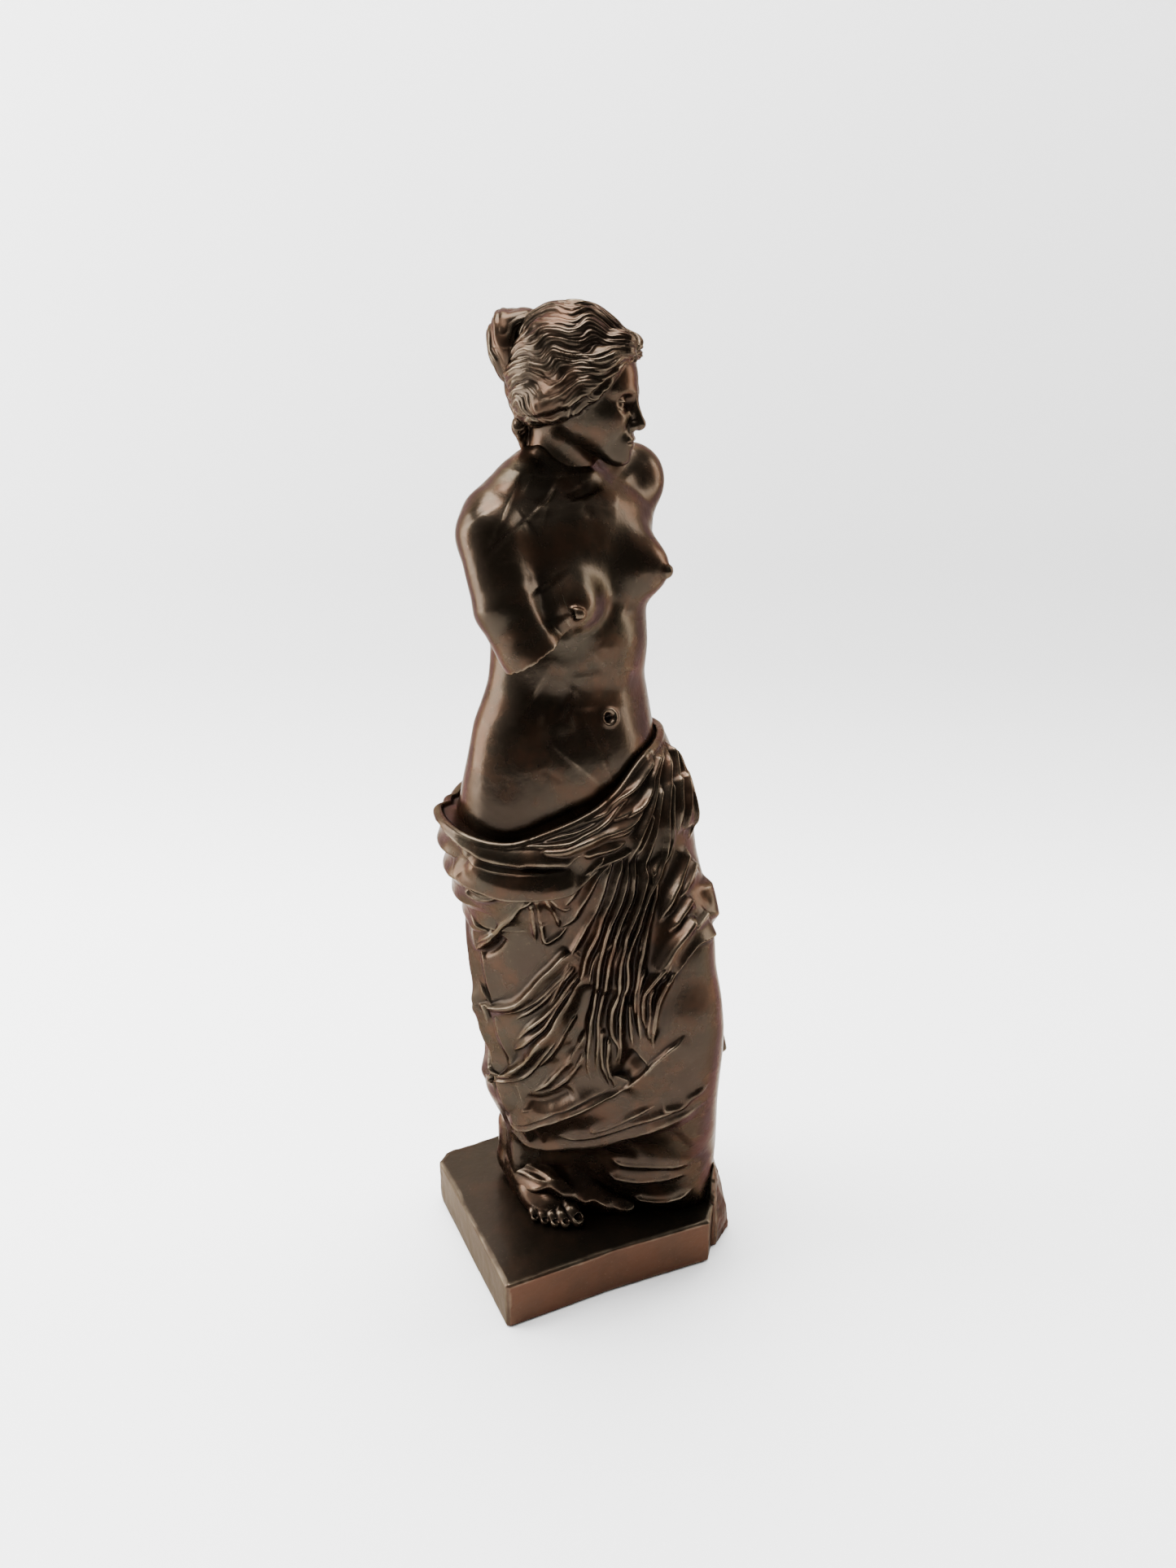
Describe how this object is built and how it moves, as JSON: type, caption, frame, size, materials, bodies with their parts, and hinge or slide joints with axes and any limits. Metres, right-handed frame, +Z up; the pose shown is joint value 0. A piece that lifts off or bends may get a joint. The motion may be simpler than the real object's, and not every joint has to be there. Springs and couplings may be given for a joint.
{
  "type": "bronze statuette",
  "caption": "Armless standing female figure in a wrapped skirt on a thin plinth, hollow cast in dark patinated bronze and pinned together.",
  "frame": {"origin": "centre of the whole footprint, on the surface that the plinth stands on", "axes": "+Z up, -Y is the plinth's front face, +X towards the figure's left; the figure faces 20 degrees from -Y towards +X"},
  "size_m": [0.0897, 0.0783, 0.3],
  "materials": {
    "patinated_bronze": "dark brown waxed patina, rubbed brighter on crests",
    "bare_bronze": "filed and toned",
    "iron_fixings": "dull, lightly rusted"
  },
  "bodies": {
    "root": {"plinth": "patinated_bronze", "drapery_casting": "patinated_bronze", "torso_casting": "patinated_bronze", "head_casting": "patinated_bronze", "chignon": "patinated_bronze", "right_arm_stump": "patinated_bronze", "right_foot": "patinated_bronze", "waist_joint_pins": "bare_bronze", "neck_joint_pins": "bare_bronze", "arm_joint_pin": "bare_bronze", "chignon_pin": "bare_bronze", "core_plugs": "bare_bronze", "foot_screw": "iron_fixings", "plinth_studs": "iron_fixings", "plinth_washers": "iron_fixings", "plinth_nuts": "iron_fixings"}
  },
  "joints": []
}
